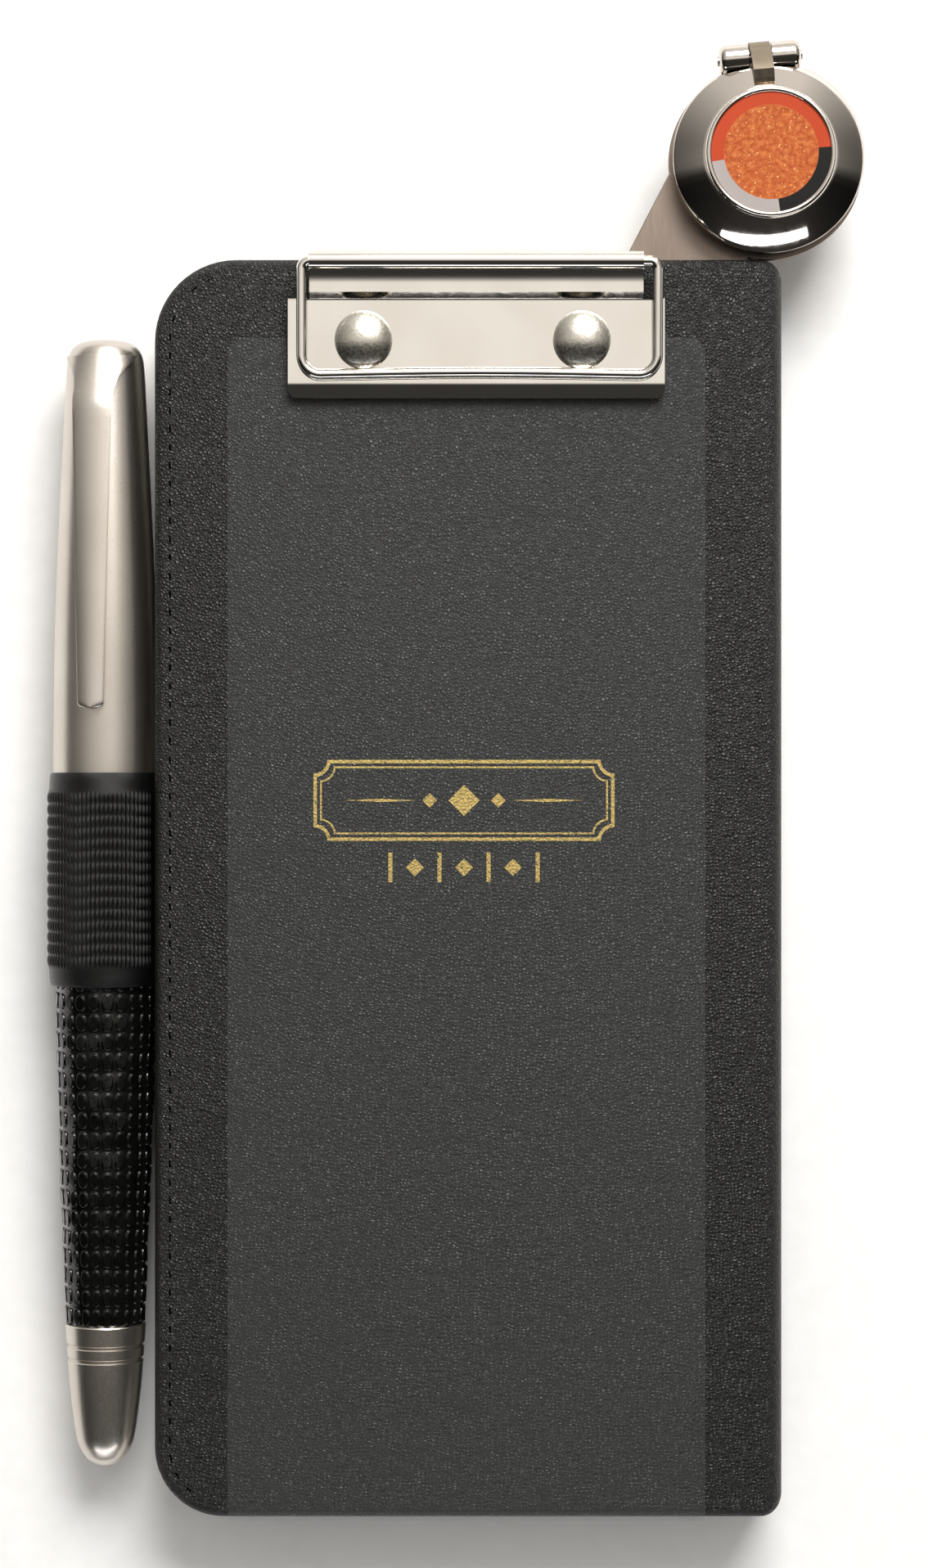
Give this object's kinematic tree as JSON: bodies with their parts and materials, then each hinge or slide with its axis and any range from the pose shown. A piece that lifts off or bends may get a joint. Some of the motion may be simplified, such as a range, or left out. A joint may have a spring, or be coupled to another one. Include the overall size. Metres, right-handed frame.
{
  "type": "pilot logbook",
  "caption": "Slim black leather folio for flight records, with a wire-bail clip over a clear sheet, a pen in an elastic loop and a round hinged-lid indicator.",
  "frame": {"origin": "centre of the back cover's underside, on the surface the closed book lies on", "axes": "+X from the opening edge to the spine, +Y up the page towards the clip, +Z out of the front cover"},
  "size_m": [0.1009, 0.1814, 0.0183],
  "materials": {
    "black_leather": "fine pebbled grain, soft satin",
    "thread": "waxed black thread",
    "cover_board": "grey board",
    "lining": "dark woven lining",
    "elastic": "ribbed woven elastic",
    "clip_nickel": "bright nickel plate",
    "plate_steel": "satin steel",
    "indicator_chrome": "polished chrome",
    "tang_metal": "dull brownish steel",
    "sensing_disc": "speckled orange, matt",
    "mark_orange": "printed red-orange, satin",
    "mark_black": "printed black, satin",
    "mark_grey": "printed grey, satin",
    "clear_plastic": "clear flexible sheet, gloss",
    "cap_metal": "warm satin metal",
    "pen_leather": "scale-embossed, gloss",
    "barrel_metal": "turned",
    "pen_plastic": "black moulded",
    "refill_brass": "drawn tube",
    "wire_steel": "bright wire",
    "paper": "uncoated",
    "card": "dark card"
  },
  "bodies": {
    "back_cover": {"back_leather": "black_leather", "back_board": "cover_board", "back_lining": "lining", "back_thread": "thread", "back_pocket": "black_leather", "back_card": "card", "rear_leaves": "paper", "staples": "wire_steel", "pen_loop": "elastic"},
    "spine": {"spine_leather": "black_leather", "spine_board": "cover_board", "spine_lining": "lining"},
    "front_cover": {"front_leather": "black_leather", "front_board": "cover_board", "front_lining": "lining", "front_thread": "thread", "tongue_pocket": "black_leather", "clip_rivets": "clip_nickel", "rivet_washers": "clip_nickel"},
    "front_leaves": {"front_leaves": "paper"},
    "clip_jaw": {"clip_plate": "clip_nickel"},
    "bail": {"clip_bail": "clip_nickel"},
    "clear_sheet": {"clear_sheet": "clear_plastic"},
    "pen": {"pen_barrel": "barrel_metal", "barrel_wrap": "pen_leather", "barrel_ring": "cap_metal", "barrel_end": "cap_metal", "pen_section": "pen_plastic", "pen_refill": "refill_brass", "refill_spring": "wire_steel"},
    "pen_cap": {"pen_cap": "cap_metal", "cap_liner": "pen_plastic"},
    "pen_clip": {"pen_clip": "cap_metal"},
    "indicator": {"indicator_plate": "plate_steel", "indicator_base": "indicator_chrome", "hinge_pin": "wire_steel"},
    "indicator_lid": {"indicator_lid": "indicator_chrome", "lid_tang": "tang_metal", "lid_bezel": "indicator_chrome", "indicator_disc": "sensing_disc", "ring_orange": "mark_orange", "ring_black": "mark_black", "ring_grey": "mark_grey"}
  },
  "joints": [
    {"name": "spine_turn", "type": "hinge", "parent": "back_cover", "child": "spine", "pos_m": [0.03795, 0, 0.00055], "axis": [0, 1, 0], "range_deg": [0, 90]},
    {"name": "cover_turn", "type": "hinge", "parent": "spine", "child": "front_cover", "pos_m": [0.03795, 0, 0.01345], "axis": [0, 1, 0], "range_deg": [0, 90]},
    {"name": "leaves_turn", "type": "hinge", "parent": "back_cover", "child": "front_leaves", "pos_m": [0.0354, 0, 0.0062], "axis": [0, 1, 0], "range_deg": [0, 170]},
    {"name": "jaw_rock", "type": "hinge", "parent": "front_cover", "child": "clip_jaw", "pos_m": [0.0009, 0.0668, 0.01455], "axis": [-1, 0, 0], "range_deg": [0, 6]},
    {"name": "bail_swing", "type": "hinge", "parent": "clip_jaw", "child": "bail", "pos_m": [0.0013, 0.07625, 0.017], "axis": [-1, 0, 0], "range_deg": [0, 135]},
    {"name": "sheet_slide", "type": "slide", "parent": "front_cover", "child": "clear_sheet", "axis": [0, -1, 0], "range_m": [0, 0.012]},
    {"name": "pen_slide", "type": "slide", "parent": "back_cover", "child": "pen", "axis": [0, 1, 0], "range_m": [0, 0.095]},
    {"name": "cap_pull", "type": "slide", "parent": "pen", "child": "pen_cap", "axis": [0, 1, 0], "range_m": [0, 0.055]},
    {"name": "clip_flex", "type": "hinge", "parent": "pen_cap", "child": "pen_clip", "pos_m": [-0.0451, 0.06225, 0.0123], "axis": [-1, 0, 0], "range_deg": [0, 3], "stiffness_Nm_per_rad": 0.3},
    {"name": "indicator_slide", "type": "slide", "parent": "front_cover", "child": "indicator", "axis": [0.4586, 0.8886, 0], "range_m": [0, 0.04]},
    {"name": "lid_open", "type": "hinge", "parent": "indicator", "child": "indicator_lid", "pos_m": [0.03553, 0.1015, 0.014], "axis": [-0.9962, -0.0872, 0], "range_deg": [0, 110]}
  ],
  "couplings": [
    {"joint": "cover_turn", "follows": "spine_turn", "ratio": 1},
    {"joint": "leaves_turn", "follows": "spine_turn", "ratio": 1.88},
    {"joint": "bail_swing", "follows": "jaw_rock", "ratio": 22.49}
  ]
}
